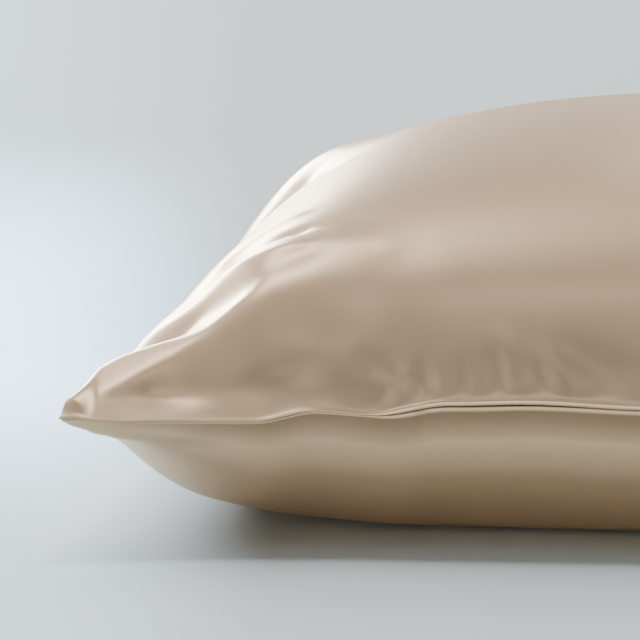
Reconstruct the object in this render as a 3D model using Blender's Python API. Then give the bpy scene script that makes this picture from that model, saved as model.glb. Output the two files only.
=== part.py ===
"""A filled satin pillowcase, lying flat on its back panel.

The case is sewn from two panels, and each is one closed solid: the panel's outer surface with
the half of the stuffed form that lies behind it. They meet at the seam that runs all round.
The mouth is at the near end, at -Y, where the two turned hems lie lip on lip.

Frame: X runs along the mouth end, Y along the case, Z up. The origin is on the surface that
the case lies on, under its middle. All sizes are in metres.
"""
import math

import bmesh
import bpy
import numpy as np

# --- driving dimensions -------------------------------------------------------------------
WIDTH = 0.500           # filled case, corner to corner along the mouth end
LENGTH = 0.655          # filled case, corner to corner along a side
SEAM_HEIGHT = 0.061     # of the seam over the surface, where no row below changes it
CROWN_RISE = 0.1115     # of the face's crown over the seam
BELLY_DEPTH = 0.092     # of the back's form under the seam, before the floor flattens it
SIDE_PULL = 0.016       # how far the middle of a long side is drawn in from its corners
END_PULL = 0.025        # the same for an end
PULL_POWER = 3.0        # 2 draws a side in as a bow, more keeps the pull nearer the corners
FLOOR_BLEND = 0.006     # half the height over which the belly turns flat on the floor

# A panel swells as (1 - |u| ** power) ** fullness, from 1 in its middle to 0 at the seam.
FACE_SHOULDER = (4.5, 0.84)     # across the face: full out to its shoulders,
FACE_TENT = (1.6, 1.00)         # with a softer slope from them to the crown
TENT_SHARE = 0.40               # of the crown's rise that the softer slope makes
FACE_ALONG = (2.4, 0.55)        # along the face, from mouth end to closed end
CORNER_RIDGE = 1.6      # how clear a ridge parts the end's slope from the side's, in a corner
FLANGE_REACH = 0.012    # how soon in from an end's seam the face rises freely
BACK_ACROSS = (2.6, 0.50)
BACK_ALONG = (2.6, 0.38)

EAR_ROLL = 0.0062       # thickness of the back's rolled edge in a corner ear
EAR_ROLL_REACH = 0.0022     # how soon in from the seam the roll is that thick
EAR_NEAR = 0.012        # the belly starts where the ways in from side and end add up to this,
EAR_FAR = 0.095         # and is full where they add up to this

# The ears at the mouth. In each, a flat side rises inwards from the corner. The slope behind
# the mouth's seam cuts it off in front, and a crest behind.
EAR_TILT = 0.283        # rise of the flat side per metre in from the side, and from the mouth
EAR_START = -0.0016     # its height over the seam at the corner
EAR_SHELF = 0.45        # slope just behind the seam
EAR_SHELF_WIDTH = 0.018
EAR_STEEP = 0.90        # slope past that shelf
EAR_CREST = 0.0588      # the crest's distance in from the mouth
EAR_CREST_PULL = 0.024  # how much nearer it comes at the side seam
EAR_CREST_REACH = 0.011     # how soon in from the side that pull is gone
EAR_FALL = 0.80         # how much the slope turns down behind the crest
EAR_BLEND = 0.0030      # how softly these meet
EAR_SIDE_REACH = 0.002  # how soon in from the side the ear is at its height
EAR_INNER = 0.165       # the ears' form starts to show this far from the middle,
EAR_FADE_ACROSS = 0.045     # and is whole this much further out
EAR_DEPTH = 0.062       # it holds this far in from the mouth,
EAR_FADE_ALONG = 0.035  # and is gone this much further in

SEAM_GAP = 0.0003       # between the two panels' solids
SEAM_EDGE = 0.0009      # thickness of a panel's edge where it is sewn
HEM_EDGE = 0.0026       # thickness of the turned hem at the mouth
FACE_OVERHANG = 0.0010  # how far the face's edge stands out over the back's at a side
EDGE_FADE = (8.0, 1.0)  # how the back's edge thins in from the seam, as a swell

COLUMNS = 64            # of the mesh along X
ROWS = 48               # of the mesh along Y
CROWDING = 0.75         # 0 spaces them evenly, 1 closes them up most towards the seams

# The seam's height along the mouth end, from the left corner to the right one.
#   x of the point, height over SEAM_HEIGHT
SEAM_WAVE = (
    (-0.250, -0.0035),
    (-0.222, -0.0058),
    (-0.168, -0.0066),
    (-0.143, -0.0020),
    (-0.116, -0.0040),
    (-0.085, 0.0010),
    (-0.050, 0.0020),
    (0.000, 0.0000),
    (0.060, 0.0010),
    (0.120, -0.0020),
    (0.180, -0.0030),
    (0.250, -0.0010),
)
WAVE_REACH = 0.10       # how far in from the end the wave dies out

# The seam's height along a long side, from its near corner to its far one.
#   y of the point, height over SEAM_HEIGHT
SIDE_WAVE = (
    (-0.3275, 0.0000),
    (-0.3150, 0.0065),
    (-0.2850, 0.0055),
    (-0.2400, 0.0030),
    (0.2200, 0.0000),
    (0.3275, -0.0080),
)
SIDE_WAVE_REACH = 0.014 # how far in from the side that wave dies out

# Where the two hems part at the mouth.
#   x of the widest place, half of the parted length, gap there
MOUTH_GAPES = (
    (-0.060, 0.052, 0.0004),
    (0.050, 0.060, 0.0002),
)
MOUTH_HALF = 0.112      # half of the length along which the hems are free
MOUTH_TAPER = 0.020     # over which a hem turns into a sewn edge
HEM_REACH = 0.060       # how far in from the mouth the hems' thickness is felt

# Soft folds of the face. Each runs straight in plan, and dies out past its ends.
#   start x, start y, end x, end y, height, half its width
FACE_FOLDS = (
    (-0.226, -0.258, -0.196, -0.212, -0.0090, 0.018),
    (-0.205, -0.300, -0.150, -0.292, -0.0060, 0.018),
    (-0.224, -0.190, -0.212, 0.030, -0.0050, 0.024),
    (-0.222, 0.035, -0.180, 0.015, -0.0050, 0.022),
    (-0.184, 0.090, -0.190, 0.200, 0.0080, 0.032),
    (0.205, -0.300, 0.160, -0.290, -0.0050, 0.016),
    (0.222, -0.262, 0.196, -0.215, -0.0060, 0.018),
    (0.226, 0.266, 0.198, 0.220, -0.0060, 0.018),
    (-0.226, 0.266, -0.196, 0.215, -0.0060, 0.018),
)
LEAST_RISE = 0.0008     # no fold brings the face nearer to the seam than this
FOLD_RISE = 0.006       # folds die out where the face is lower than about this
LEAST_SHARE = 1e-6      # keeps a share of 0 from being divided by
FLAT_LIMIT = 1e-7       # below this a point counts as on the floor

SATIN_COLOUR = (0.58, 0.47, 0.36, 1.0)
SATIN_ROUGHNESS = 0.36


# --- the form -----------------------------------------------------------------------------
def swell(u, power, fullness):
    """How full a panel is at u, which runs from -1 at one seam to 1 at the other."""
    return np.clip(1.0 - np.abs(u) ** power, 0.0, 1.0) ** fullness


def outline(s, t):
    """Plan position of the panel's point s, t, with the sides and ends drawn in."""
    half_width = WIDTH / 2 - SIDE_PULL * (1.0 - np.abs(t) ** PULL_POWER)
    half_length = LENGTH / 2 - END_PULL * (1.0 - np.abs(s) ** PULL_POWER)
    return s * half_width, t * half_length


def smooth_table(x, table):
    """Value of a two-column table at x, on a smooth step from each row to the next."""
    value = np.full_like(x, table[0][1])
    for (x0, value0), (x1, value1) in zip(table, table[1:]):
        k = np.clip((x - x0) / (x1 - x0), 0.0, 1.0)
        value = value + (value1 - value0) * k * k * (3.0 - 2.0 * k)
    return value


def fade_out(distance, reach):
    """1 at no distance, 0 from reach on, and smooth between."""
    k = np.clip(distance / reach, 0.0, 1.0)
    return (1.0 - k) ** 2 * (1.0 + 2.0 * k)


def seam_height(x, y):
    """Height of the surface in which the two panels meet."""
    end_wave = fade_out(y + LENGTH / 2, WAVE_REACH) * smooth_table(x, SEAM_WAVE)
    side_wave = fade_out(WIDTH / 2 - np.abs(x), SIDE_WAVE_REACH) * smooth_table(y, SIDE_WAVE)
    return SEAM_HEIGHT + end_wave + side_wave


def fold(x, y, row):
    """Height that one soft fold adds at x, y."""
    x0, y0, x1, y1, height, half_width = row
    run_x, run_y = x1 - x0, y1 - y0
    along = ((x - x0) * run_x + (y - y0) * run_y) / (run_x ** 2 + run_y ** 2)
    nearest = np.clip(along, 0.0, 1.0)
    distance_squared = (x - x0 - nearest * run_x) ** 2 + (y - y0 - nearest * run_y) ** 2
    return height * np.exp(-distance_squared / half_width ** 2)


def lesser(a, b, sharpness):
    """The lesser of two shares of 1, with a rounder turn the lower the sharpness."""
    a, b = np.maximum(a, LEAST_SHARE), np.maximum(b, LEAST_SHARE)
    return (a ** -sharpness + b ** -sharpness - 1.0) ** (-1.0 / sharpness)


def soft_plus(value):
    """The value where it is positive, else 0, with a soft turn between."""
    return 0.5 * (value + np.sqrt(value ** 2 + EAR_BLEND ** 2))


def ear_height(s, t):
    """Height of the face in the two ears at the mouth, and how far it holds at each point."""
    x, y = outline(s, t)
    in_side = WIDTH / 2 - np.abs(x)
    in_mouth = LENGTH / 2 + y
    from_side = WIDTH / 2 * (1.0 - np.abs(s))
    from_end = LENGTH / 2 * (1.0 - np.abs(t))
    slope = EAR_SHELF * from_end
    slope = slope + (EAR_STEEP - EAR_SHELF) * soft_plus(from_end - EAR_SHELF_WIDTH)
    side = EAR_START + EAR_TILT * (in_side + in_mouth)
    crest = EAR_CREST - EAR_CREST_PULL * np.exp(-in_side / EAR_CREST_REACH)
    side = side - EAR_FALL * soft_plus(in_mouth - crest)
    height = slope - soft_plus(slope - side)
    height = height * (1.0 - np.exp(-from_side / EAR_SIDE_REACH))
    share = 1.0 - fade_out(np.abs(x) - EAR_INNER, EAR_FADE_ACROSS)
    share = share * fade_out(in_mouth - EAR_DEPTH, EAR_FADE_ALONG)
    return height, share


def face_height(s, t):
    """Height of the face over the seam."""
    x, y = outline(s, t)
    across = (1.0 - TENT_SHARE) * swell(s, *FACE_SHOULDER) + TENT_SHARE * swell(s, *FACE_TENT)
    rise = CROWN_RISE * lesser(across, swell(t, *FACE_ALONG), CORNER_RIDGE)
    from_end = LENGTH / 2 * (1.0 - np.abs(t))
    rise = rise * (1.0 - np.exp(-from_end / FLANGE_REACH))
    fullness = 1.0 - np.exp(-rise / FOLD_RISE)
    folds = sum(fold(x, y, row) for row in FACE_FOLDS) * fullness
    ear, share = ear_height(s, t)
    return np.maximum((rise + folds) * (1.0 - share) + ear * share, LEAST_RISE * fullness)


def back_height(s, t):
    """Height of the back over the floor: it swells down from the seam and lies flat there."""
    x, y = outline(s, t)
    from_side = WIDTH / 2 * (1.0 - np.abs(s))
    from_end = LENGTH / 2 * (1.0 - np.abs(t))
    side_roll = 1.0 - np.exp(-from_side / EAR_ROLL_REACH)
    end_roll = 1.0 - np.exp(-from_end / EAR_ROLL_REACH)
    past_ear = 1.0 - fade_out(from_side + from_end - EAR_NEAR, EAR_FAR - EAR_NEAR)
    belly = (BELLY_DEPTH - EAR_ROLL) * swell(s, *BACK_ACROSS) * swell(t, *BACK_ALONG)
    depth = EAR_ROLL * side_roll * end_roll + belly * past_ear
    free = seam_height(x, y) - depth
    blend = np.clip(free + FLOOR_BLEND, 0.0, 2.0 * FLOOR_BLEND) ** 2 / (4.0 * FLOOR_BLEND)
    return np.where(free > FLOOR_BLEND, free, blend)


def near_mouth(y):
    """1 along the mouth end, fading to 0 on the way in from it."""
    return fade_out(y + LENGTH / 2 - END_PULL, HEM_REACH)


def mouth_gape(x, y):
    """Gap between the two hems, beyond the one that parts the solids."""
    gape = np.zeros_like(x)
    for middle, half_length, width in MOUTH_GAPES:
        k = np.clip(np.abs(x - middle) / half_length, 0.0, 1.0)
        gape = gape + width * (1.0 - k * k) ** 2
    return gape * near_mouth(y)


def edge_thickness(x, y):
    """Thickness of a panel's edge: a turned hem at the mouth and a sewn edge elsewhere."""
    hem = fade_out(np.abs(x) - MOUTH_HALF + MOUTH_TAPER / 2, MOUTH_TAPER)
    return SEAM_EDGE + (HEM_EDGE - SEAM_EDGE) * hem * near_mouth(y)


# --- the two solids -----------------------------------------------------------------------
def crowd(u):
    """Even steps from -1 to 1, drawn closer together towards both ends."""
    return CROWDING * np.sin(u * math.pi / 2) + (1.0 - CROWDING) * u


def panel_grid():
    """Panel coordinates s, t of the mesh, closer together towards the seams."""
    across = np.linspace(-1.0, 1.0, COLUMNS + 1)
    along = np.linspace(-1.0, 1.0, ROWS + 1)
    return np.meshgrid(crowd(across), crowd(along))


def rim_indices():
    """Grid places round the seam, once round, starting at the left corner of the mouth."""
    near = [(0, i) for i in range(COLUMNS)]
    right = [(j, COLUMNS) for j in range(ROWS)]
    far = [(ROWS, i) for i in range(COLUMNS, 0, -1)]
    left = [(j, 0) for j in range(ROWS, 0, -1)]
    return near + right + far + left


def panel_mesh(name, x, y, z, inner_z, side):
    """Closed panel solid: its outer grid, its edge, and the inner surface it is cut off at."""
    mesh_data = bmesh.new()
    grid = [[mesh_data.verts.new((x[j, i], y[j, i], z[j, i])) for i in range(COLUMNS + 1)]
            for j in range(ROWS + 1)]
    for j in range(ROWS):
        for i in range(COLUMNS):
            mesh_data.faces.new((grid[j][i], grid[j][i + 1], grid[j + 1][i + 1], grid[j + 1][i]))
    places = rim_indices()
    outer = [grid[j][i] for j, i in places]
    inner = [mesh_data.verts.new((x[j, i], y[j, i], inner_z[j, i])) for j, i in places]
    middle = mesh_data.verts.new((0.0, 0.0, SEAM_HEIGHT + side * SEAM_GAP / 2))
    for k in range(len(places)):
        after = (k + 1) % len(places)
        mesh_data.faces.new((outer[after], outer[k], inner[k], inner[after]))
        mesh_data.faces.new((inner[after], inner[k], middle))
    bmesh.ops.recalc_face_normals(mesh_data, faces=mesh_data.faces)
    if side < 0:
        flat = [face for face in mesh_data.faces if all(vert.co.z < FLAT_LIMIT for vert in face.verts)]
        bmesh.ops.dissolve_faces(mesh_data, faces=flat)
    mesh = bpy.data.meshes.new(name)
    mesh_data.to_mesh(mesh)
    mesh_data.free()
    mesh.shade_smooth()
    panel = bpy.data.objects.new(name, mesh)
    bpy.context.collection.objects.link(panel)
    return panel


def satin(name):
    """Champagne satin weave: smooth, softly glossy, not metallic."""
    material = bpy.data.materials.new(name)
    material.use_nodes = True
    shader = material.node_tree.nodes["Principled BSDF"]
    shader.inputs["Base Color"].default_value = SATIN_COLOUR
    shader.inputs["Roughness"].default_value = SATIN_ROUGHNESS
    shader.inputs["Metallic"].default_value = 0.0
    return material


def build_face():
    """The upper panel, whose edge stands out a little over the lower one."""
    s, t = panel_grid()
    x, y = outline(s, t)
    seam = seam_height(x, y)
    lower_edge = seam + SEAM_GAP / 2 + mouth_gape(x, y) / 2
    z = lower_edge + edge_thickness(x, y) + face_height(s, t)
    reach = 1.0 + FACE_OVERHANG / (WIDTH / 2)
    panel = panel_mesh("face_panel", x * reach, y * reach, z, lower_edge, 1)
    panel.data.materials.append(satin("face_satin"))


def build_back():
    """The lower panel, flat where it lies on the floor."""
    s, t = panel_grid()
    x, y = outline(s, t)
    seam = seam_height(x, y)
    upper_edge = seam - SEAM_GAP / 2 - mouth_gape(x, y) / 2
    edge = edge_thickness(x, y) + SEAM_GAP / 2 + mouth_gape(x, y) / 2
    lowered = edge * (1.0 - swell(s, *EDGE_FADE) * swell(t, *EDGE_FADE))
    z = np.maximum(back_height(s, t) - lowered, 0.0)
    panel = panel_mesh("back_panel", x, y, z, upper_edge, -1)
    panel.data.materials.append(satin("back_satin"))


def main():
    for leftover in list(bpy.data.objects):
        bpy.data.objects.remove(leftover, do_unlink=True)
    build_face()
    build_back()


main()
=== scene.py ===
# %% [markdown]
# # A filled satin pillowcase
#
# The real case is sewn from two panels of champagne satin: a face on top and a back under it.
# A seam joins them round three sides, and at the mouth, the near end, two turned hems lie lip
# on lip. Filled, both panels swell away from the seam, while the corners stay thin and point
# outwards like ears.
#
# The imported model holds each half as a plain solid. This script dresses the two halves in
# cloth: a finer surface with its soft folds, rounded edges, sewing thread and a satin finish.

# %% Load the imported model
import math

import bpy
import numpy as np
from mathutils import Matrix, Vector


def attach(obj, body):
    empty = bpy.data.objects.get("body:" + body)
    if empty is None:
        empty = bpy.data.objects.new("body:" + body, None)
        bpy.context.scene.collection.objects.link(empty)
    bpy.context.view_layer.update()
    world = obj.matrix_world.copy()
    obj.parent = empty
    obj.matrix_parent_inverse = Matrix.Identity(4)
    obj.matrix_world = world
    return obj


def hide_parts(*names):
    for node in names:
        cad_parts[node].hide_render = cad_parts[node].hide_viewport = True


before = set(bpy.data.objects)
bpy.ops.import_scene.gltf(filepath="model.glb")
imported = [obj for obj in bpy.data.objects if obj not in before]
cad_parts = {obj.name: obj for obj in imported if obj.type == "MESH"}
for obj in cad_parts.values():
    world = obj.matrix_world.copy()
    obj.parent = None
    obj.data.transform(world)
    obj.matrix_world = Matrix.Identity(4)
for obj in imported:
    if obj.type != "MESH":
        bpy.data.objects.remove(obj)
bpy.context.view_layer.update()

# %% [markdown]
# ## The camera
#
# The case fills the frame from its left corner ear to its middle, seen from low down with a
# long lens, so its lines hardly converge. The camera could be aimed with a constraint, but a
# place and two turns are all that it needs, and they stay put in every other view.

# %% Camera
CAMERA_PLACE = (0.0, -1.8275, 0.300)
CAMERA_DOWN = 7.5       # degrees under level
CAMERA_LEFT = 5.3       # degrees to the left of straight on
LENS = 201.94           # mm
SENSOR = 36.0           # mm

camera = bpy.data.objects.new("camera", bpy.data.cameras.new("camera"))
camera.data.sensor_width = SENSOR
camera.data.lens = LENS
camera.location = CAMERA_PLACE
camera.rotation_euler = (math.radians(90.0 - CAMERA_DOWN), 0.0, math.radians(CAMERA_LEFT))
bpy.context.collection.objects.link(camera)
bpy.context.scene.camera = camera
print("camera looks", CAMERA_DOWN, "degrees down with a", LENS, "mm lens")

# %% [markdown]
# ## The form of a filled case
#
# A filled case is a form with a rule: each panel is pinned flat along the seam and swells in
# the middle, as `(1 - |u| ** power) ** fullness` from seam to seam. It could be sculpted or
# blown up from two flat sheets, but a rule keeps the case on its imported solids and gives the
# same shape each time. So the sizes here are those of the solids, and the cloth is laid over
# them with a finer mesh and finer folds. All sizes are in metres.

# %% Size of the case
WIDTH = 0.500           # corner to corner along the mouth
LENGTH = 0.655          # corner to corner along a side
SEAM_HEIGHT = 0.061     # over the floor
CROWN_RISE = 0.1115     # of the face's crown over the seam
print("case:", WIDTH, "x", LENGTH, "m, crown", SEAM_HEIGHT + CROWN_RISE, "m over the floor")

# %% Swells, fades and tables
def swell(u, power, fullness):
    """How full a panel is at u, which runs from -1 at one seam to 1 at the other."""
    return np.clip(1.0 - np.abs(u) ** power, 0.0, 1.0) ** fullness


def fade_out(distance, reach):
    """1 at no distance, 0 from reach on, and smooth between."""
    k = np.clip(distance / reach, 0.0, 1.0)
    return (1.0 - k) ** 2 * (1.0 + 2.0 * k)


def smooth_table(x, table):
    """Value of a two-column table at x, on a smooth step from each row to the next."""
    value = np.full_like(x, table[0][1])
    for (x0, value0), (x1, value1) in zip(table, table[1:]):
        k = np.clip((x - x0) / (x1 - x0), 0.0, 1.0)
        value = value + (value1 - value0) * k * k * (3.0 - 2.0 * k)
    return value


print("halfway along a fade:", fade_out(0.5, 1.0))

# %% Outline
SIDE_PULL = 0.016       # how far the middle of a long side is drawn in
END_PULL = 0.025        # the same for an end
PULL_POWER = 3.0        # the higher, the straighter the drawn-in side between its corners


def outline(s, t):
    """Plan position of the panel's point s, t, with the sides and ends drawn in."""
    half_width = WIDTH / 2 - SIDE_PULL * (1.0 - np.abs(t) ** PULL_POWER)
    half_length = LENGTH / 2 - END_PULL * (1.0 - np.abs(s) ** PULL_POWER)
    return s * half_width, t * half_length


print("half the width at the middle of a side:", round(float(outline(1.0, 0.0)[0]), 4), "m")

# %% [markdown]
# ## The seam line
#
# The seam isn't level: it dips and lifts along the mouth as the filling pushes it, and the
# turned hem is thicker than the sewn edge beside it. Both come from short tables of named
# points, joined by smooth steps, which is easier to correct than a drawn curve.

# %% Seam height
# Along the mouth end: x, height over SEAM_HEIGHT
SEAM_WAVE = (
    (-0.250, -0.0035), (-0.222, -0.0058), (-0.168, -0.0066), (-0.143, -0.0020),
    (-0.116, -0.0040), (-0.085, 0.0010), (-0.050, 0.0020), (0.000, 0.0000),
    (0.060, 0.0010), (0.120, -0.0020), (0.180, -0.0030), (0.250, -0.0010),
)
# Along a long side: y, height over SEAM_HEIGHT
SIDE_WAVE = (
    (-0.3275, 0.0000), (-0.3150, 0.0065), (-0.2850, 0.0055), (-0.2400, 0.0030), (0.2200, 0.0000),
    (0.3275, -0.0080),
)
WAVE_REACH = 0.10           # how far in from the mouth end its wave dies out
SIDE_WAVE_REACH = 0.014     # the same for a long side


def seam_height(x, y):
    """Height of the surface in which the two panels meet."""
    end_wave = fade_out(y + LENGTH / 2, WAVE_REACH) * smooth_table(x, SEAM_WAVE)
    side_wave = fade_out(WIDTH / 2 - np.abs(x), SIDE_WAVE_REACH) * smooth_table(y, SIDE_WAVE)
    return SEAM_HEIGHT + end_wave + side_wave


print("seam at the left corner ear:", round(float(seam_height(-WIDTH / 2, -LENGTH / 2)), 4), "m high")

# %% Hems at the mouth
SEAM_EDGE = 0.0009      # thickness of a panel's edge where it is sewn
HEM_EDGE = 0.0026       # thickness of the turned hem at the mouth
HEM_REACH = 0.060       # length up the cloth over which hems and gapes die out
MOUTH_HALF = 0.112      # half of the length along which the hems are free
MOUTH_TAPER = 0.020     # length over which a hem passes into the sewn edge
# Places where the two hems part: middle, half length, gap there
MOUTH_GAPES = (
    (-0.060, 0.052, 0.0004),
    (0.050, 0.060, 0.0002),
)


def near_mouth(y):
    """1 along the mouth end, fading to 0 on the way in from it."""
    return fade_out(y + LENGTH / 2 - END_PULL, HEM_REACH)


def mouth_gape(x, y):
    """Gap between the two hems, beyond the one that parts the panels."""
    gape = np.zeros_like(x)
    for middle, half_length, width in MOUTH_GAPES:
        k = np.clip(np.abs(x - middle) / half_length, 0.0, 1.0)
        gape = gape + width * (1.0 - k * k) ** 2
    return gape * near_mouth(y)


def edge_thickness(x, y):
    """Thickness of a panel's edge: a turned hem at the mouth and a sewn edge elsewhere."""
    hem = fade_out(np.abs(x) - MOUTH_HALF + MOUTH_TAPER / 2, MOUTH_TAPER)
    return SEAM_EDGE + (HEM_EDGE - SEAM_EDGE) * hem * near_mouth(y)


print("mouth:", 2 * MOUTH_HALF, "m of free hem, which parts in", len(MOUTH_GAPES), "places")

# %% [markdown]
# ## Folds
#
# Satin shows every change of slope, so the folds make most of the look. Each is a soft ridge or
# trough along a short line: its height fades as a bell curve to both sides and past both ends.
# The main folds are those of the solids. The other tables add what only the cloth shows: pull
# lines on the slope beside the ear, creases in the ear, and puckers where the hem gathers. Cloth
# could be simulated until it folds by itself, but then no fold would fall where the real one is.

# %% Main folds
# start x, start y, end x, end y, height, half its width
MAIN_FOLDS = (
    (-0.226, -0.258, -0.196, -0.212, -0.0090, 0.018),
    (-0.205, -0.300, -0.150, -0.292, -0.0060, 0.018),
    (-0.224, -0.190, -0.212, 0.030, -0.0050, 0.024),
    (-0.222, 0.035, -0.180, 0.015, -0.0050, 0.022),
    (-0.184, 0.090, -0.190, 0.200, 0.0080, 0.032),
    (0.205, -0.300, 0.160, -0.290, -0.0050, 0.016),
    (0.222, -0.262, 0.196, -0.215, -0.0060, 0.018),
    (0.226, 0.266, 0.198, 0.220, -0.0060, 0.018),
    (-0.226, 0.266, -0.196, 0.215, -0.0060, 0.018),
)


def fold(x, y, row):
    """Height that one main fold adds at x, y."""
    x0, y0, x1, y1, height, half_width = row
    run_x, run_y = x1 - x0, y1 - y0
    along = ((x - x0) * run_x + (y - y0) * run_y) / (run_x ** 2 + run_y ** 2)
    nearest = np.clip(along, 0.0, 1.0)
    distance_squared = (x - x0 - nearest * run_x) ** 2 + (y - y0 - nearest * run_y) ** 2
    return height * np.exp(-distance_squared / half_width ** 2)


print(len(MAIN_FOLDS), "main folds")

# %% Fine folds
# The same six values, but these push the face out of its surface, not up
FINE_FOLDS = (
    (-0.190, -0.2105, -0.160, -0.2150, -0.0012, 0.0055),
    (-0.166, -0.2145, -0.130, -0.2180, -0.0007, 0.0090),
    (-0.192, -0.2290, -0.158, -0.2370, 0.0010, 0.0055),
    (-0.164, -0.2360, -0.118, -0.2460, 0.0005, 0.0100),
    (-0.196, -0.1900, -0.164, -0.1840, 0.0008, 0.0050),
    (-0.1905, -0.1450, -0.1850, -0.0900, -0.0009, 0.0070),
    (-0.2260, 0.0405, -0.1850, 0.0505, -0.0042, 0.0140),
    (-0.1960, -0.2700, -0.1540, -0.2440, -0.0012, 0.0095),
    (-0.2130, -0.3030, -0.1570, -0.3000, -0.0024, 0.0100),
    (-0.1570, -0.2915, -0.1280, -0.2950, 0.0012, 0.0100),
    (-0.2230, -0.2560, -0.2080, -0.2500, -0.0022, 0.0090),
    (-0.124, -0.2930, -0.096, -0.3005, -0.0009, 0.0055),
    (-0.116, -0.2985, -0.100, -0.3030, 0.0006, 0.0045),
    (-0.066, -0.2900, -0.026, -0.2985, 0.0007, 0.0060),
    (-0.033, -0.2920, -0.012, -0.2960, -0.0008, 0.0080),
)
# Folds of the back, which hangs nearly upright: x and height at both ends, push, half width
BACK_FOLDS = (
    (-0.228, 0.0492, -0.176, 0.0486, 0.0006, 0.0025),
    (-0.224, 0.0440, -0.182, 0.0450, -0.0004, 0.0030),
    (-0.0950, 0.0580, -0.0925, 0.0480, -0.0006, 0.0016),
    (-0.0985, 0.0560, -0.0965, 0.0500, 0.0004, 0.0020),
)


def fold_along(points, start, end, height, half_width):
    """Push that one fine fold gives the cloth's points, by their distance from its line."""
    run = end - start
    along = np.clip(((points - start) @ run) / (run @ run), 0.0, 1.0)
    distance = np.linalg.norm(points - start - along[..., None] * run, axis=-1)
    return height * np.exp(-(distance / half_width) ** 2)


print(len(FINE_FOLDS), "fine folds on the face and", len(BACK_FOLDS), "on the back")

# %% Puckers over the mouth
# x at the hem, sideways lean per length, length up the cloth, depth, half its width
PUCKERS = (
    (-0.1180, 0.45, 0.022, -0.00060, 0.0035),
    (-0.1080, 0.30, 0.030, 0.00075, 0.0042),
    (-0.0960, -0.10, 0.026, -0.00075, 0.0038),
    (-0.0875, -0.15, 0.034, 0.00085, 0.0036),
    (-0.0800, -0.05, 0.024, -0.00070, 0.0032),
    (-0.0725, -0.20, 0.036, 0.00085, 0.0034),
    (-0.0640, -0.15, 0.034, -0.00095, 0.0036),
    (-0.0550, -0.25, 0.042, 0.00090, 0.0038),
    (-0.0450, -0.20, 0.040, -0.00100, 0.0042),
    (-0.0340, -0.35, 0.050, 0.00095, 0.0050),
    (-0.0200, -0.30, 0.034, -0.00060, 0.0050),
    (-0.0040, 0.05, 0.040, 0.00070, 0.0055),
    (0.0140, 0.15, 0.034, -0.00080, 0.0055),
    (0.0330, 0.20, 0.042, 0.00080, 0.0050),
    (0.0520, 0.15, 0.034, -0.00070, 0.0050),
    (0.0760, 0.30, 0.040, 0.00070, 0.0055),
    (0.0960, 0.10, 0.030, -0.00060, 0.0055),
)
PUCKER_START = 0.05     # share of its length over which a pucker comes up out of the hem
PUCKER_AT_HEM = 0.7     # share of its width that it has at the hem
PUCKER_WIDENS = 0.8     # share of its width that it gains on its way up the cloth
PUCKER_FALL = 1.3       # power by which it dies out


def pucker(x, from_hem, row):
    """Push of one pucker, which starts at the hem and dies out up the cloth."""
    x0, lean, length, depth, half_width = row
    k = np.clip(from_hem / length, 0.0, 1.0)
    half_width = half_width * (PUCKER_AT_HEM + PUCKER_WIDENS * k)
    sideways = (x - x0 - lean * from_hem) / half_width
    strength = (1.0 - np.exp(-k / PUCKER_START)) * (1.0 - k) ** PUCKER_FALL
    return depth * strength * np.exp(-sideways ** 2)


print(len(PUCKERS), "puckers")

# %% [markdown]
# ## The ears
#
# In an ear the two panels lie nearly on each other, as little filling gets that far. At the
# mouth the real ears are crisp: a flat side rises inwards from the corner, cut off by the slope
# behind the mouth's seam and by a crest. A few planes that meet softly give just that, where a
# swell would give a dome.

# %% Ears at the mouth
EAR_TILT = 0.283        # rise of the flat side per metre in from the side, and from the mouth
EAR_START = -0.0016     # its height over the seam at the corner
EAR_SHELF = 0.45        # slope behind the seam
EAR_SHELF_WIDTH = 0.018
EAR_STEEP = 0.90        # slope past the shelf
EAR_CREST = 0.0588      # the crest's distance in from the mouth
EAR_CREST_PULL = 0.024  # how much nearer it comes at the side seam
EAR_CREST_REACH = 0.011
EAR_FALL = 0.80         # how much the slope turns down behind it
EAR_BLEND = 0.0030      # how softly these meet
EAR_SIDE_REACH = 0.002  # how soon in from the side seam the ear has its height
EAR_INNER = 0.165       # the ear's form starts to show this far from the middle
EAR_FADE_ACROSS = 0.045
EAR_DEPTH = 0.062       # it holds this far in from the mouth
EAR_FADE_ALONG = 0.035


def soft_plus(value):
    """The value where it is positive, else 0, with a soft turn between."""
    return 0.5 * (value + np.sqrt(value ** 2 + EAR_BLEND ** 2))


def in_from_seams(s, t):
    """Distances in from the nearest side and from the nearest end, before they are drawn in."""
    return WIDTH / 2 * (1.0 - np.abs(s)), LENGTH / 2 * (1.0 - np.abs(t))


def ear_height(s, t):
    """Height of the face in the two ears at the mouth, and how far it holds at each point."""
    x, y = outline(s, t)
    in_side = WIDTH / 2 - np.abs(x)
    in_mouth = LENGTH / 2 + y
    from_side, from_end = in_from_seams(s, t)
    slope = EAR_SHELF * from_end
    slope = slope + (EAR_STEEP - EAR_SHELF) * soft_plus(from_end - EAR_SHELF_WIDTH)
    side = EAR_START + EAR_TILT * (in_side + in_mouth)
    crest = EAR_CREST - EAR_CREST_PULL * np.exp(-in_side / EAR_CREST_REACH)
    side = side - EAR_FALL * soft_plus(in_mouth - crest)
    height = slope - soft_plus(slope - side)
    height = height * (1.0 - np.exp(-from_side / EAR_SIDE_REACH))
    share = 1.0 - fade_out(np.abs(x) - EAR_INNER, EAR_FADE_ACROSS)
    share = share * fade_out(in_mouth - EAR_DEPTH, EAR_FADE_ALONG)
    return height, share


print("ears reach", EAR_DEPTH, "m in from the mouth")

# %% [markdown]
# ## The two surfaces
#
# Over the seam the face rises to broad shoulders and a soft crown. Under it the back hangs as a
# belly that turns flat where it lies on the floor, and in the ears it is only a thin roll. Both
# are heights over one outline that start from one seam, so they keep clear of each other.

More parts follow.
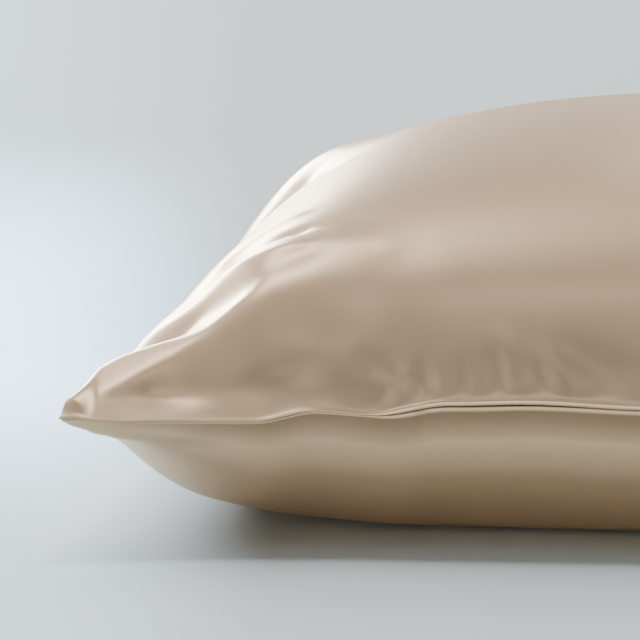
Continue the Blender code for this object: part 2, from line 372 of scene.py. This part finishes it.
# %% Height of the face
# Power and fullness of the face's swells
FACE_SHOULDER = (4.5, 0.84)     # from side to side, steep at the sides and broad on top
FACE_TENT = (1.6, 1.00)         # from side to side, a softer slope
FACE_ALONG = (2.4, 0.55)        # from end to end
TENT_SHARE = 0.40       # of the crown's rise that the softer slope makes
CORNER_RIDGE = 1.6      # how clear a ridge parts the end's slope from the side's, in a corner
FLANGE_REACH = 0.012    # how soon in from the mouth's seam the face rises freely
FOLD_RISE = 0.006       # folds die out where the face is lower than about this
LEAST_RISE = 0.0008     # no fold brings the face nearer to the seam than this
LEAST_SHARE = 1e-6      # keeps a share of 0 from being divided by


def lesser(a, b, sharpness):
    """The lesser of two shares of 1, with a rounder turn the lower the sharpness."""
    a, b = np.maximum(a, LEAST_SHARE), np.maximum(b, LEAST_SHARE)
    return (a ** -sharpness + b ** -sharpness - 1.0) ** (-1.0 / sharpness)


def face_height(s, t):
    """Height of the face over the seam."""
    x, y = outline(s, t)
    across = (1.0 - TENT_SHARE) * swell(s, *FACE_SHOULDER) + TENT_SHARE * swell(s, *FACE_TENT)
    rise = CROWN_RISE * lesser(across, swell(t, *FACE_ALONG), CORNER_RIDGE)
    _, from_end = in_from_seams(s, t)
    rise = rise * (1.0 - np.exp(-from_end / FLANGE_REACH))
    fullness = 1.0 - np.exp(-rise / FOLD_RISE)
    folds = sum(fold(x, y, row) for row in MAIN_FOLDS) * fullness
    ear, share = ear_height(s, t)
    return np.maximum((rise + folds) * (1.0 - share) + ear * share, LEAST_RISE * fullness)


print("crown rises", round(float(face_height(0.0, 0.0)), 4), "m over the seam")

# %% Height of the back
# Power and fullness of the belly's swells
BACK_ACROSS = (2.6, 0.50)
BACK_ALONG = (2.6, 0.38)
BELLY_DEPTH = 0.092     # of the back's form under the seam, before the floor flattens it
FLOOR_BLEND = 0.006     # half the height over which the belly turns flat on the floor
EAR_ROLL = 0.0062       # thickness of the back's rolled edge in an ear
EAR_ROLL_REACH = 0.0022
EAR_NEAR = 0.012        # the belly starts this far into a corner
EAR_FAR = 0.095         # and is full this far in


def back_height(s, t):
    """Height of the back over the floor."""
    x, y = outline(s, t)
    from_side, from_end = in_from_seams(s, t)
    side_roll = 1.0 - np.exp(-from_side / EAR_ROLL_REACH)
    end_roll = 1.0 - np.exp(-from_end / EAR_ROLL_REACH)
    past_ear = 1.0 - fade_out(from_side + from_end - EAR_NEAR, EAR_FAR - EAR_NEAR)
    belly = (BELLY_DEPTH - EAR_ROLL) * swell(s, *BACK_ACROSS) * swell(t, *BACK_ALONG)
    free = seam_height(x, y) - EAR_ROLL * side_roll * end_roll - belly * past_ear
    blend = np.clip(free + FLOOR_BLEND, 0.0, 2.0 * FLOOR_BLEND) ** 2 / (4.0 * FLOOR_BLEND)
    return np.where(free > FLOOR_BLEND, free, blend)


print("belly lies", round(float(back_height(0.0, 0.0)), 4), "m over the floor")

# %% [markdown]
# ## Cloth from the surfaces
#
# Each panel becomes one closed mesh. A grid carries the outer cloth, closer together towards
# the seams, where it bends most. Round the rim a small bead rolls the edge over, as a turned
# edge does, and a fan closes the panel on the side where the filling is cut through. Thickness
# from a modifier would do for a sheet, but a filled panel is solid right through.

# %% Grid and rim
COLUMNS = 220
ROWS = 280
CROWDING = 0.75         # 0 spaces the cells evenly, 1 closes them up most towards the seams


def crowd(u):
    """Even steps from -1 to 1, drawn closer together towards both ends."""
    return CROWDING * np.sin(u * math.pi / 2) + (1.0 - CROWDING) * u


grid_s, grid_t = np.meshgrid(crowd(np.linspace(-1.0, 1.0, COLUMNS + 1)),
                             crowd(np.linspace(-1.0, 1.0, ROWS + 1)))
near = [(0, i) for i in range(COLUMNS)]
right = [(j, COLUMNS) for j in range(ROWS)]
far = [(ROWS, i) for i in range(COLUMNS, 0, -1)]
left = [(j, 0) for j in range(ROWS, 0, -1)]
RIM = np.array(near + right + far + left)       # row and column of each point round the seam
print("grid of", COLUMNS, "x", ROWS, "cells,", len(RIM), "points round the seam")

# %% Rolled edge
# From its top to its bottom: share of the edge's thickness it stands out, share of its height
EDGE_ROLL = (
    (0.14, 0.97), (0.27, 0.88), (0.34, 0.72), (0.36, 0.48), (0.36, 0.22), (0.34, 0.08),
    (0.29, 0.02), (0.00, 0.00),
)


def at_rim(grid):
    """What a grid holds at the points round the seam."""
    return grid[RIM[:, 0], RIM[:, 1]]


def outward_from(line):
    """Unit directions in plan that point out of the closed line round the seam."""
    run = np.roll(line, -1, axis=0) - np.roll(line, 1, axis=0)
    outward = np.stack((run[:, 1], -run[:, 0]), axis=-1)
    return outward / np.linalg.norm(outward, axis=-1, keepdims=True)


def rolled_edge(x, y, z, inner_z):
    """Rings of points that roll the edge over, from the outer cloth to the inside."""
    rim = np.stack((at_rim(x), at_rim(y)), axis=-1)
    outward = outward_from(rim)
    top, bottom = at_rim(z), at_rim(inner_z)
    thickness = np.abs(top - bottom)
    rings = []
    for stands_out, share in EDGE_ROLL:
        ring = np.empty((len(RIM), 3))
        ring[:, :2] = rim + outward * (stands_out * thickness)[:, None]
        ring[:, 2] = bottom + (top - bottom) * share
        rings.append(ring)
    return rings


print(len(EDGE_ROLL), "rings roll the edge over")

# %% Faces of a panel
def panel_faces(shape):
    """Cells of the outer grid, bands of the rolled edge, and the fan that closes it inside."""
    count = shape[0] * shape[1]
    index = np.arange(count).reshape(shape)
    cells = np.stack((index[:-1, :-1], index[:-1, 1:], index[1:, 1:], index[1:, :-1]), -1)
    faces = cells.reshape(-1, 4).tolist()
    above = at_rim(index)
    for number in range(len(EDGE_ROLL)):
        below = count + number * len(RIM) + np.arange(len(RIM))
        faces += np.stack((np.roll(above, -1), above, below, np.roll(below, -1)), -1).tolist()
        above = below
    middle = np.full(len(RIM), count + len(EDGE_ROLL) * len(RIM))
    return faces + np.stack((np.roll(above, -1), above, middle), -1).tolist()


print("a panel has", len(panel_faces(grid_s.shape)), "faces")

# %% Cloth and valley
def cloth_length(x, y, z, axis):
    """Length of cloth from the middle of the grid, measured along its surface."""
    points = np.stack((x, y, z), axis=-1)
    steps = np.linalg.norm(np.diff(points, axis=axis), axis=-1)
    length = np.concatenate((np.zeros_like(steps.take([0], axis)), np.cumsum(steps, axis)), axis)
    return length - length.take([length.shape[axis] // 2], axis)


def lay_out_cloth(mesh, x, y, z):
    """UV map in metres of cloth, which the weave and the ripples follow."""
    across, along = cloth_length(x, y, z, 1), cloth_length(x, y, z, 0)
    outer = np.stack((across, along), -1).reshape(-1, 2)
    edge = np.tile(np.stack((at_rim(across), at_rim(along)), -1), (len(EDGE_ROLL), 1))
    cloth = np.concatenate((outer, edge, np.zeros((1, 2))))
    corner_points = np.empty(len(mesh.loops), dtype=int)
    mesh.loops.foreach_get("vertex_index", corner_points)
    mesh.uv_layers.new(name="cloth").data.foreach_set("uv", cloth[corner_points].reshape(-1))


def mark_valley(mesh, outer_count):
    """Attribute that is 0 on the outer cloth and rises to 1 inside the seam, to paint shade there."""
    rings = [np.full(len(RIM), (1.0 - share) ** 2) for _, share in EDGE_ROLL]
    in_valley = np.concatenate([np.zeros(outer_count)] + rings + [np.ones(1)])
    mesh.attributes.new("valley", "FLOAT", "POINT").data.foreach_set("value", in_valley)


print("cloth from the middle to a side:",
      round(float(cloth_length(*outline(grid_s, grid_t), face_height(grid_s, grid_t), 1).max()), 3))

# %% Panel mesh
SEAM_GAP = 0.0003       # between the two panels, all along the seam


def panel_mesh(name, x, y, z, inner_z, side):
    """Closed panel: outer grid, rolled edge, and the fan that closes it inside."""
    outer = np.stack((x, y, z), axis=-1).reshape(-1, 3)
    middle = np.array([[0.0, 0.0, SEAM_HEIGHT + side * SEAM_GAP / 2]])
    points = np.concatenate([outer] + rolled_edge(x, y, z, inner_z) + [middle])
    faces = panel_faces(x.shape)
    if side < 0:
        faces = [face[::-1] for face in faces]
    mesh = bpy.data.meshes.new(name)
    mesh.from_pydata(points.tolist(), [], faces)
    mesh.shade_smooth()
    lay_out_cloth(mesh, x, y, z)
    mark_valley(mesh, len(outer))
    panel = bpy.data.objects.new(name, mesh)
    bpy.context.collection.objects.link(panel)
    return panel


print("the panels lie", SEAM_GAP, "m apart")

# %% [markdown]
# ## Cutting the two panels
#
# The face's height and the back's are laid on the grid, and the fine folds then push the cloth
# out of its own surface. A fold that only lifts the cloth would be lost on a steep slope, which
# is where the real case has most of its pull lines.

# %% Push of the fine folds
HEM_DEPTH = 0.002       # the hem itself stays smooth this far up the cloth


def surface_normals(x, y, z):
    """Unit normals of a grid of points, pointing up."""
    points = np.stack((x, y, z), axis=-1)
    normals = np.cross(np.gradient(points, axis=1), np.gradient(points, axis=0))
    return normals / np.linalg.norm(normals, axis=-1, keepdims=True)


def nearest_point(points, x0, y0):
    """The grid's point that is nearest to x0, y0 in plan."""
    distance_squared = (points[..., 0] - x0) ** 2 + (points[..., 1] - y0) ** 2
    return points.reshape(-1, 3)[np.argmin(distance_squared)]


def face_push(x, y, z):
    """How far fine folds and puckers push each point of the face out of its surface."""
    points = np.stack((x, y, z), axis=-1)
    push = np.zeros_like(x)
    for x0, y0, x1, y1, height, half_width in FINE_FOLDS:
        start, end = nearest_point(points, x0, y0), nearest_point(points, x1, y1)
        push = push + fold_along(points, start, end, height, half_width)
    push = push * (1.0 - np.exp(-face_height(grid_s, grid_t) / FOLD_RISE))
    steps = np.linalg.norm(np.diff(points, axis=0), axis=-1)
    from_hem = np.concatenate((np.zeros((1, x.shape[1])), np.cumsum(steps, 0)), 0)
    return push + sum(pucker(x, from_hem - HEM_DEPTH, row) for row in PUCKERS)


def back_push(x, y, z):
    """How far its folds push each point of the back out of its surface, near the mouth."""
    places = np.stack((x, z), axis=-1)
    push = np.zeros_like(x)
    for x0, z0, x1, z1, height, half_width in BACK_FOLDS:
        start, end = np.array([x0, z0]), np.array([x1, z1])
        push = push + fold_along(places, start, end, height, half_width) * near_mouth(y)
    return push


print("deepest fine fold:", min(row[4] for row in FINE_FOLDS), "m")

# %% Face and back
FACE_OVERHANG = 0.0010  # how far the face's edge stands out over the back's
EDGE_FADE = (8.0, 1.0)  # power and fullness of the swell on which the back loses its edge inwards


def build_face():
    """The upper panel, whose edge stands out a little over the lower one."""
    x, y = outline(grid_s, grid_t)
    lower_edge = seam_height(x, y) + SEAM_GAP / 2 + mouth_gape(x, y) / 2
    z = lower_edge + edge_thickness(x, y) + face_height(grid_s, grid_t)
    reach = 1.0 + FACE_OVERHANG / (WIDTH / 2)
    x, y = x * reach, y * reach
    push = face_push(x, y, z)[..., None] * surface_normals(x, y, z)
    x, y, z = x + push[..., 0], y + push[..., 1], z + push[..., 2]
    return panel_mesh("face_cloth", x, y, z, lower_edge, 1)


def build_back():
    """The lower panel, flat where it lies on the floor."""
    x, y = outline(grid_s, grid_t)
    upper_edge = seam_height(x, y) - SEAM_GAP / 2 - mouth_gape(x, y) / 2
    edge = edge_thickness(x, y) + SEAM_GAP / 2 + mouth_gape(x, y) / 2
    lowered = edge * (1.0 - swell(grid_s, *EDGE_FADE) * swell(grid_t, *EDGE_FADE))
    z = np.maximum(back_height(grid_s, grid_t) - lowered, 0.0)
    push = back_push(x, y, z)[..., None] * -surface_normals(x, y, z)
    x, y, z = x + push[..., 0], y + push[..., 1], np.maximum(z + push[..., 2], 0.0)
    return panel_mesh("back_cloth", x, y, z, upper_edge, -1)


face_cloth = build_face()
back_cloth = build_back()
for cloth in (face_cloth, back_cloth):
    print(cloth.name, len(cloth.data.polygons), "faces")

# %% [markdown]
# ## Satin
#
# The cloth is a champagne charmeuse: long threads float on its face, so it is smooth, throws a
# broad warm sheen, and shows faint slubs where a crosswise thread is thicker. A metal-like share
# tints the sheen as dyed silk does. A fine weave could be modelled thread by thread, but at this
# size it would only blur, so it is a bump in the cloth's own metres.

# %% Nodes as values
class Value:
    """A number or colour that changes over a surface, as one output of a node."""

    def __init__(self, finish, socket):
        self.finish = finish
        self.socket = socket

    def __add__(self, other):
        return self.finish.maths("ADD", self, other)

    def __radd__(self, other):
        return self.finish.maths("ADD", other, self)

    def __sub__(self, other):
        return self.finish.maths("SUBTRACT", self, other)

    def __rsub__(self, other):
        return self.finish.maths("SUBTRACT", other, self)

    def __mul__(self, other):
        return self.finish.maths("MULTIPLY", self, other)

    def __rmul__(self, other):
        return self.finish.maths("MULTIPLY", other, self)


print("values can be added, taken away and multiplied")

# %% A finish
class Finish:
    """A material, and the nodes that shade it."""

    def __init__(self, name, constants):
        self.material = bpy.data.materials.new(name)
        self.material.use_nodes = True
        self.nodes = self.material.node_tree.nodes
        self.links = self.material.node_tree.links
        self.shader = self.nodes["Principled BSDF"]
        for socket, value in constants.items():
            self.feed(self.shader.inputs[socket], value)

    def feed(self, socket, value):
        """Gives a socket a plain value, or links one that changes over the surface."""
        if isinstance(value, Value):
            self.links.new(value.socket, socket)
        else:
            socket.default_value = value

    def node(self, kind, settings, inputs, output=0):
        """One output of a new node, after its settings and then its sockets are set."""
        made = self.nodes.new(kind)
        for setting, value in settings.items():
            setattr(made, setting, value)
        for socket, value in inputs.items():
            self.feed(made.inputs[socket], value)
        return Value(self, made.outputs[output])

    def maths(self, operation, first, second):
        """One step of arithmetic on numbers or values."""
        return self.node("ShaderNodeMath", {"operation": operation}, {0: first, 1: second})

    def noise(self, place, across, along, detail=2.0):
        """Noise between 0 and 1, with so many lumps to the metre across and along the cloth."""
        scaled = self.node("ShaderNodeVectorMath", {"operation": "MULTIPLY"},
                           {0: place, 1: (across, along, 1.0)})
        return self.node("ShaderNodeTexNoise", {}, {"Vector": scaled, "Scale": 1.0, "Detail": detail})

    def tint(self, share, first, second):
        """Colour between two, by a share that changes over the surface."""
        return self.node("ShaderNodeMix", {"data_type": "RGBA"},
                         {"Factor": share, 6: first, 7: second}, output=2)


print("finishes are ready")

# %% Champagne satin
SATIN_LIGHT = (0.622, 0.440, 0.268, 1.0)
SATIN_DEEP = (0.575, 0.388, 0.234, 1.0)
# Painted shade: a darker colour that the satin takes inside the seam's valley
VALLEY_PAINTED_SHADE = (0.56, 0.39, 0.25, 1.0)
CLOUD_SHARE = 0.6           # of the change of colour that clouds make; slubs make the rest
SATIN_METAL = 0.48
SATIN_EDGE = (1.0, 0.91, 0.74, 1.0)     # what its gloss turns to at a glance
SATIN_GLOSS = 0.10          # the silk's own clear gloss over the dyed thread
GLOSS_ROUGHNESS = 0.28
SATIN_ROUGHNESS = 0.34
ROUGHNESS_SPREAD = 0.08
VALLEY_ROUGHNESS = 0.25     # added inside the seam
NOISE_MIDDLE = 0.5
# Lumps per metre, across and along the cloth
CLOUDS = (6.0, 9.0)
SLUBS = (60.0, 900.0)
WEAVE = (260.0, 3600.0)
RIPPLES = (26.0, 60.0)
SLUB_HEIGHT = 0.000010
WEAVE_HEIGHT = 0.000005
RIPPLE_HEIGHT = 0.00012


def champagne_satin():
    """The satin of both panels, laid out in the cloth's own metres."""
    finish = Finish("champagne_satin", {
        "Metallic": SATIN_METAL, "Specular Tint": SATIN_EDGE, "Coat Weight": SATIN_GLOSS,
        "Coat Roughness": GLOSS_ROUGHNESS})
    place = finish.node("ShaderNodeUVMap", {"uv_map": "cloth"}, {})
    clouds = finish.noise(place, *CLOUDS)
    slubs = finish.noise(place, *SLUBS)
    weave = finish.noise(place, *WEAVE, detail=1.0)
    ripples = finish.noise(place, *RIPPLES)
    valley = finish.node("ShaderNodeAttribute", {"attribute_name": "valley"}, {}, output=2)

    shading = clouds * CLOUD_SHARE + slubs * (1.0 - CLOUD_SHARE)
    cloth_colour = finish.tint(shading, SATIN_DEEP, SATIN_LIGHT)
    # Painted shade: the colour turns darker inside the seam, by the valley attribute
    colour = finish.tint(valley, cloth_colour, VALLEY_PAINTED_SHADE)
    finish.feed(finish.shader.inputs["Base Color"], colour)

    spread = (slubs - NOISE_MIDDLE) * ROUGHNESS_SPREAD
    roughness = SATIN_ROUGHNESS + spread + valley * VALLEY_ROUGHNESS
    finish.feed(finish.shader.inputs["Roughness"], roughness)

    height = slubs * SLUB_HEIGHT + weave * WEAVE_HEIGHT + ripples * RIPPLE_HEIGHT
    bump = finish.node("ShaderNodeBump", {}, {"Strength": 1.0, "Distance": 1.0, "Height": height})
    finish.feed(finish.shader.inputs["Normal"], bump)
    return finish.material


satin = champagne_satin()
for cloth in (face_cloth, back_cloth):
    cloth.data.materials.append(satin)
print(satin.name, "has", len(satin.node_tree.nodes), "nodes")

# %% [markdown]
# ## Seam stitches
#
# The case is sewn inside out and turned, and the filling pulls its seam open a little, so short
# runs of thread show in the valley between the panels. They repeat along one line, so Geometry
# Nodes sets them out: the line becomes a curve, points stand along it, and each gets a stitch.

# %% Line of the seam
STITCH_OUT = 0.00035        # out from the panels' outline
STITCH_DROP = 0.00008       # under the middle of the gap


def seam_line():
    """Points of the sewn seam, from one end of the free hems round the case to the other."""
    x, y = outline(grid_s, grid_t)
    line = np.stack((at_rim(x), at_rim(y)), axis=-1)
    line = line + STITCH_OUT * outward_from(line)
    on_mouth = (RIM[:, 0] == 0) & (np.abs(line[:, 0]) < MOUTH_HALF)
    first = int(np.flatnonzero(on_mouth)[-1]) + 1
    line = np.roll(line, -first, axis=0)[:len(line) - int(on_mouth.sum())]
    height = seam_height(line[:, 0], line[:, 1]) - STITCH_DROP
    return np.column_stack((line, height))


sewn_line = seam_line()
sewn_length = np.linalg.norm(np.diff(sewn_line, axis=0), axis=-1).sum()
print("sewn seam:", round(float(sewn_length), 3), "m")

# %% Tree of stitches
STITCH_SIDES = 6                # round a stitch
STITCH_RINGS = 5                # along it
BEAD_RADIUS = 0.5               # of the bead that is scaled to a stitch, so 1 across
STITCH_SPREAD = (0.85, 1.05)    # a stitch's length, as a share of the usual one


def stitch_tree():
    """Geometry nodes that set stitches end to end along a line."""
    tree = bpy.data.node_groups.new("stitches_on_a_line", "GeometryNodeTree")
    sockets = tree.interface
    sockets.new_socket("Line", in_out="INPUT", socket_type="NodeSocketGeometry")
    for name in ("Pitch", "Length", "Thickness"):
        sockets.new_socket(name, in_out="INPUT", socket_type="NodeSocketFloat")
    sockets.new_socket("Seed", in_out="INPUT", socket_type="NodeSocketInt")
    sockets.new_socket("Thread", in_out="INPUT", socket_type="NodeSocketMaterial")
    sockets.new_socket("Stitches", in_out="OUTPUT", socket_type="NodeSocketGeometry")

    def add(kind, settings, inputs):
        made = tree.nodes.new(kind)
        for setting, value in settings.items():
            setattr(made, setting, value)
        for socket, value in inputs.items():
            if isinstance(value, bpy.types.NodeSocket):
                tree.links.new(value, made.inputs[socket])
            else:
                made.inputs[socket].default_value = value
        return made

    given = add("NodeGroupInput", {}, {})
    curve = add("GeometryNodeMeshToCurve", {}, {"Mesh": given.outputs["Line"]})
    spaced = add("GeometryNodeResampleCurve", {"mode": "LENGTH"},
                 {"Curve": curve.outputs[0], "Length": given.outputs["Pitch"]})
    bead = add("GeometryNodeMeshUVSphere", {},
               {"Segments": STITCH_SIDES, "Rings": STITCH_RINGS, "Radius": BEAD_RADIUS})
    tangent = add("GeometryNodeInputTangent", {}, {})
    turn = add("FunctionNodeAlignRotationToVector", {"axis": "Z"}, {"Vector": tangent.outputs[0]})
    chance = add("FunctionNodeRandomValue", {"data_type": "FLOAT"},
                 {2: STITCH_SPREAD[0], 3: STITCH_SPREAD[1], "Seed": given.outputs["Seed"]})
    length = add("ShaderNodeMath", {"operation": "MULTIPLY"},
                 {0: given.outputs["Length"], 1: chance.outputs[1]})
    size = add("ShaderNodeCombineXYZ", {},
               {0: given.outputs["Thickness"], 1: given.outputs["Thickness"], 2: length.outputs[0]})
    placed = add("GeometryNodeInstanceOnPoints", {},
                 {"Points": spaced.outputs[0], "Instance": bead.outputs["Mesh"],
                  "Rotation": turn.outputs[0], "Scale": size.outputs[0]})
    real = add("GeometryNodeRealizeInstances", {}, {"Geometry": placed.outputs[0]})
    smooth = add("GeometryNodeSetShadeSmooth", {}, {"Geometry": real.outputs[0]})
    dyed = add("GeometryNodeSetMaterial", {},
               {"Geometry": smooth.outputs[0], "Material": given.outputs["Thread"]})
    add("NodeGroupOutput", {}, {"Stitches": dyed.outputs[0]})
    return tree


tree = stitch_tree()
print(tree.name, "has", len(tree.nodes), "nodes")

# %% Stitches laid along the seam
STITCH_PITCH = 0.0030
STITCH_LENGTH = 0.0021
THREAD_THICKNESS = 0.00028
STITCH_SEED = 7
THREAD_COLOUR = (0.38, 0.26, 0.16, 1.0)
THREAD_ROUGHNESS = 0.60


def stitches_along(line, thread):
    """Plain mesh object of the stitches along a line of points."""
    mesh = bpy.data.meshes.new("seam_line")
    mesh.from_pydata(line.tolist(), [(i, i + 1) for i in range(len(line) - 1)], [])
    carrier = bpy.data.objects.new("seam_line", mesh)
    bpy.context.collection.objects.link(carrier)
    modifier = carrier.modifiers.new("stitches", "NODES")
    modifier.node_group = tree
    values = {"Pitch": STITCH_PITCH, "Length": STITCH_LENGTH, "Thickness": THREAD_THICKNESS,
              "Seed": STITCH_SEED, "Thread": thread}
    for item in tree.interface.items_tree:
        if item.in_out == "INPUT" and item.name in values:
            modifier[item.identifier] = values[item.name]
    settled = carrier.evaluated_get(bpy.context.evaluated_depsgraph_get())
    stitches = bpy.data.objects.new("seam_stitches", bpy.data.meshes.new_from_object(settled))
    bpy.context.collection.objects.link(stitches)
    bpy.data.objects.remove(carrier, do_unlink=True)
    return stitches


silk_thread = Finish("silk_thread", {"Base Color": THREAD_COLOUR, "Roughness": THREAD_ROUGHNESS})
seam_stitches = stitches_along(sewn_line, silk_thread.material)
print("stitches:", len(seam_stitches.data.polygons), "faces")

# %% [markdown]
# ## Joining the pieces to the model
#
# Nothing moves on a pillowcase, so all the cloth and thread rides on its one body. Each dressed
# panel takes the place of its plain solid.

# %% Join the pieces to the frame
for cloth, node in ((face_cloth, "face_panel"), (back_cloth, "back_panel")):
    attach(cloth, "root")
    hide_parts(node)
    print(cloth.name, "takes the place of", node)
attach(seam_stitches, "root")

# %% [markdown]
# ## The floor
#
# The case lies on white paper. One wide disc is enough, as the camera looks down on it and sees
# no horizon, and a curved backdrop would turn its rear to the views from behind. The paper is
# brightest on the window side, left of the case, and that window light is painted on as a soft
# glow, which dies out towards the camera and far behind.

# %% Floor paper
PAPER_COLOUR = (0.625, 0.720, 0.750, 1.0)
PAPER_ROUGHNESS = 0.9
PAPER_DARK = (0.0, 0.0, 0.0, 1.0)
# Painted light: the paper's glow stands in for window light falling on it, left of the case
PAPER_PAINTED_LIGHT = (1.75, 2.60, 3.60, 1.0)
PAPER_LEAST_PAINTED_LIGHT = 0.16     # share of the glow that stays everywhere left of the case
PAPER_LEFT_TO_RIGHT = (-0.185, -0.105)      # metres sideways per metre away from the camera
PAPER_NEAREST = 1.0         # metres from the camera; nearer than this the shade stays as it is
PAPER_FRONT = (1.50, 2.05)  # metres from the camera, over which the glow comes up
PAPER_BACK = (2.3, 3.8)     # and over which it dies out again


def floor_paper():
    """White paper that glows with painted window light left of the case, and is greyer behind it and
    to its right.
    """
    paper = Finish("floor_paper", {"Roughness": PAPER_ROUGHNESS, "Emission Strength": 1.0})
    place = paper.node("ShaderNodeTexCoord", {}, {}, output="Object")
    across = paper.node("ShaderNodeSeparateXYZ", {}, {0: place}, output="X")
    along = paper.node("ShaderNodeSeparateXYZ", {}, {0: place}, output="Y")
    away = paper.maths("MAXIMUM", along - CAMERA_PLACE[1], PAPER_NEAREST)
    sideways = paper.maths("DIVIDE", across, away)

    def between(value, start, end):
        return paper.node("ShaderNodeMapRange", {"interpolation_type": "SMOOTHSTEP"},
                          {"Value": value, "From Min": start, "From Max": end})

    left = 1.0 - between(sideways, *PAPER_LEFT_TO_RIGHT)
    near = between(away, *PAPER_FRONT)
    far = 1.0 - between(away, *PAPER_BACK)
    # Painted light: how much window light the paper gives off at each place
    painted_light = left * (PAPER_LEAST_PAINTED_LIGHT + (1.0 - PAPER_LEAST_PAINTED_LIGHT) * near * far)
    paper.feed(paper.shader.inputs["Base Color"], PAPER_COLOUR)
    paper.feed(paper.shader.inputs["Emission Color"], paper.tint(painted_light, PAPER_DARK, PAPER_PAINTED_LIGHT))
    return paper.material


paper = floor_paper()
print(paper.name, "has", len(paper.node_tree.nodes), "nodes")

# %% Floor
FLOOR_RADIUS = 12.0
FLOOR_SIDES = 96
FLOOR_DROP = 0.0005         # how far the paper lies under the case

bpy.ops.mesh.primitive_circle_add(vertices=FLOOR_SIDES, radius=FLOOR_RADIUS, fill_type="NGON")
floor = bpy.context.object
floor.name = "floor"
for vertex in floor.data.vertices:
    vertex.co.z = -FLOOR_DROP
floor.data.materials.append(paper)
print("floor:", round(2 * FLOOR_RADIUS), "m of paper")

# %% [markdown]
# ## The lights
#
# Satin shows its windows: low ones behind and left of the case make the white sheen on its left
# slope, and narrow ones high in front pick out the puckers. Soft sky light shades the cloth and
# the paper without a sheen of its own, so each lamp says whether it reaches the shade, the gloss
# or both. A picture of a room could light it as well, but lamps can be moved one by one.

# %% Lights
# name, degrees round from +X, degrees over the floor, spread in degrees, strength, reach
LIGHTS = (
    ("back_window", 109.0, 13.0, 12.0, 1.70, "gloss"),
    ("left_back_window", 121.0, 16.0, 12.0, 2.10, "gloss"),
    ("left_window", 150.0, 32.0, 26.0, 0.40, "gloss"),
    ("right_back_window", 75.0, 32.0, 28.0, 0.52, "gloss"),
    ("far_window", 92.0, 14.0, 30.0, 0.16, "gloss"),
    ("high_window", 120.0, 54.0, 22.0, 0.90, "gloss"),
    ("high_right_window", 68.0, 50.0, 14.0, 0.60, "gloss"),
    ("strip_top", 275.0, 82.0, 12.0, 0.08, "gloss"),
    ("strip_middle", 268.0, 69.0, 12.0, 0.05, "gloss"),
    ("strip_low", 268.0, 56.0, 12.0, 0.045, "gloss"),
    ("front_right_window", 310.0, 36.0, 34.0, 0.46, "gloss"),
    ("front_left_window", 228.0, 40.0, 34.0, 0.28, "gloss"),
    ("left_low", 200.0, 8.0, 24.0, 0.45, "gloss"),
    ("back_sky", 100.0, 27.0, 26.0, 2.50, "shade"),
    ("left_sky", 135.0, 34.0, 26.0, 1.95, "shade"),
    ("high_sky", 110.0, 54.0, 30.0, 0.90, "shade"),
    ("ceiling", 80.0, 65.0, 12.0, 1.30, "shade"),
    ("soft_top", 150.0, 76.0, 60.0, 0.50, "both"),
    ("front_low", 262.0, 3.0, 9.0, 1.20, "both"),
)


def direction(turn, rise):
    """Unit direction that points at a light, from its two angles in degrees."""
    turn, rise = math.radians(turn), math.radians(rise)
    return Vector((math.cos(turn) * math.cos(rise), math.sin(turn) * math.cos(rise), math.sin(rise)))


for name, turn, rise, spread, strength, reach in LIGHTS:
    light = bpy.data.lights.new(name, "SUN")
    light.angle = math.radians(spread)
    light.energy = strength
    lamp = bpy.data.objects.new(name, light)
    lamp.visible_glossy = reach != "shade"
    lamp.visible_diffuse = reach != "gloss"
    lamp.rotation_euler = direction(turn, rise).to_track_quat("Z", "Y").to_euler()
    bpy.context.collection.objects.link(lamp)
print(len(LIGHTS), "lights")

# %% Room
ROOM_COLOUR = (0.75, 0.80, 0.86, 1.0)
ROOM_STRENGTH = 0.03

room = bpy.data.worlds.new("room")
room.use_nodes = True
background = room.node_tree.nodes["Background"]
background.inputs["Color"].default_value = ROOM_COLOUR
background.inputs["Strength"].default_value = ROOM_STRENGTH
bpy.context.scene.world = room
print("room light:", ROOM_STRENGTH)
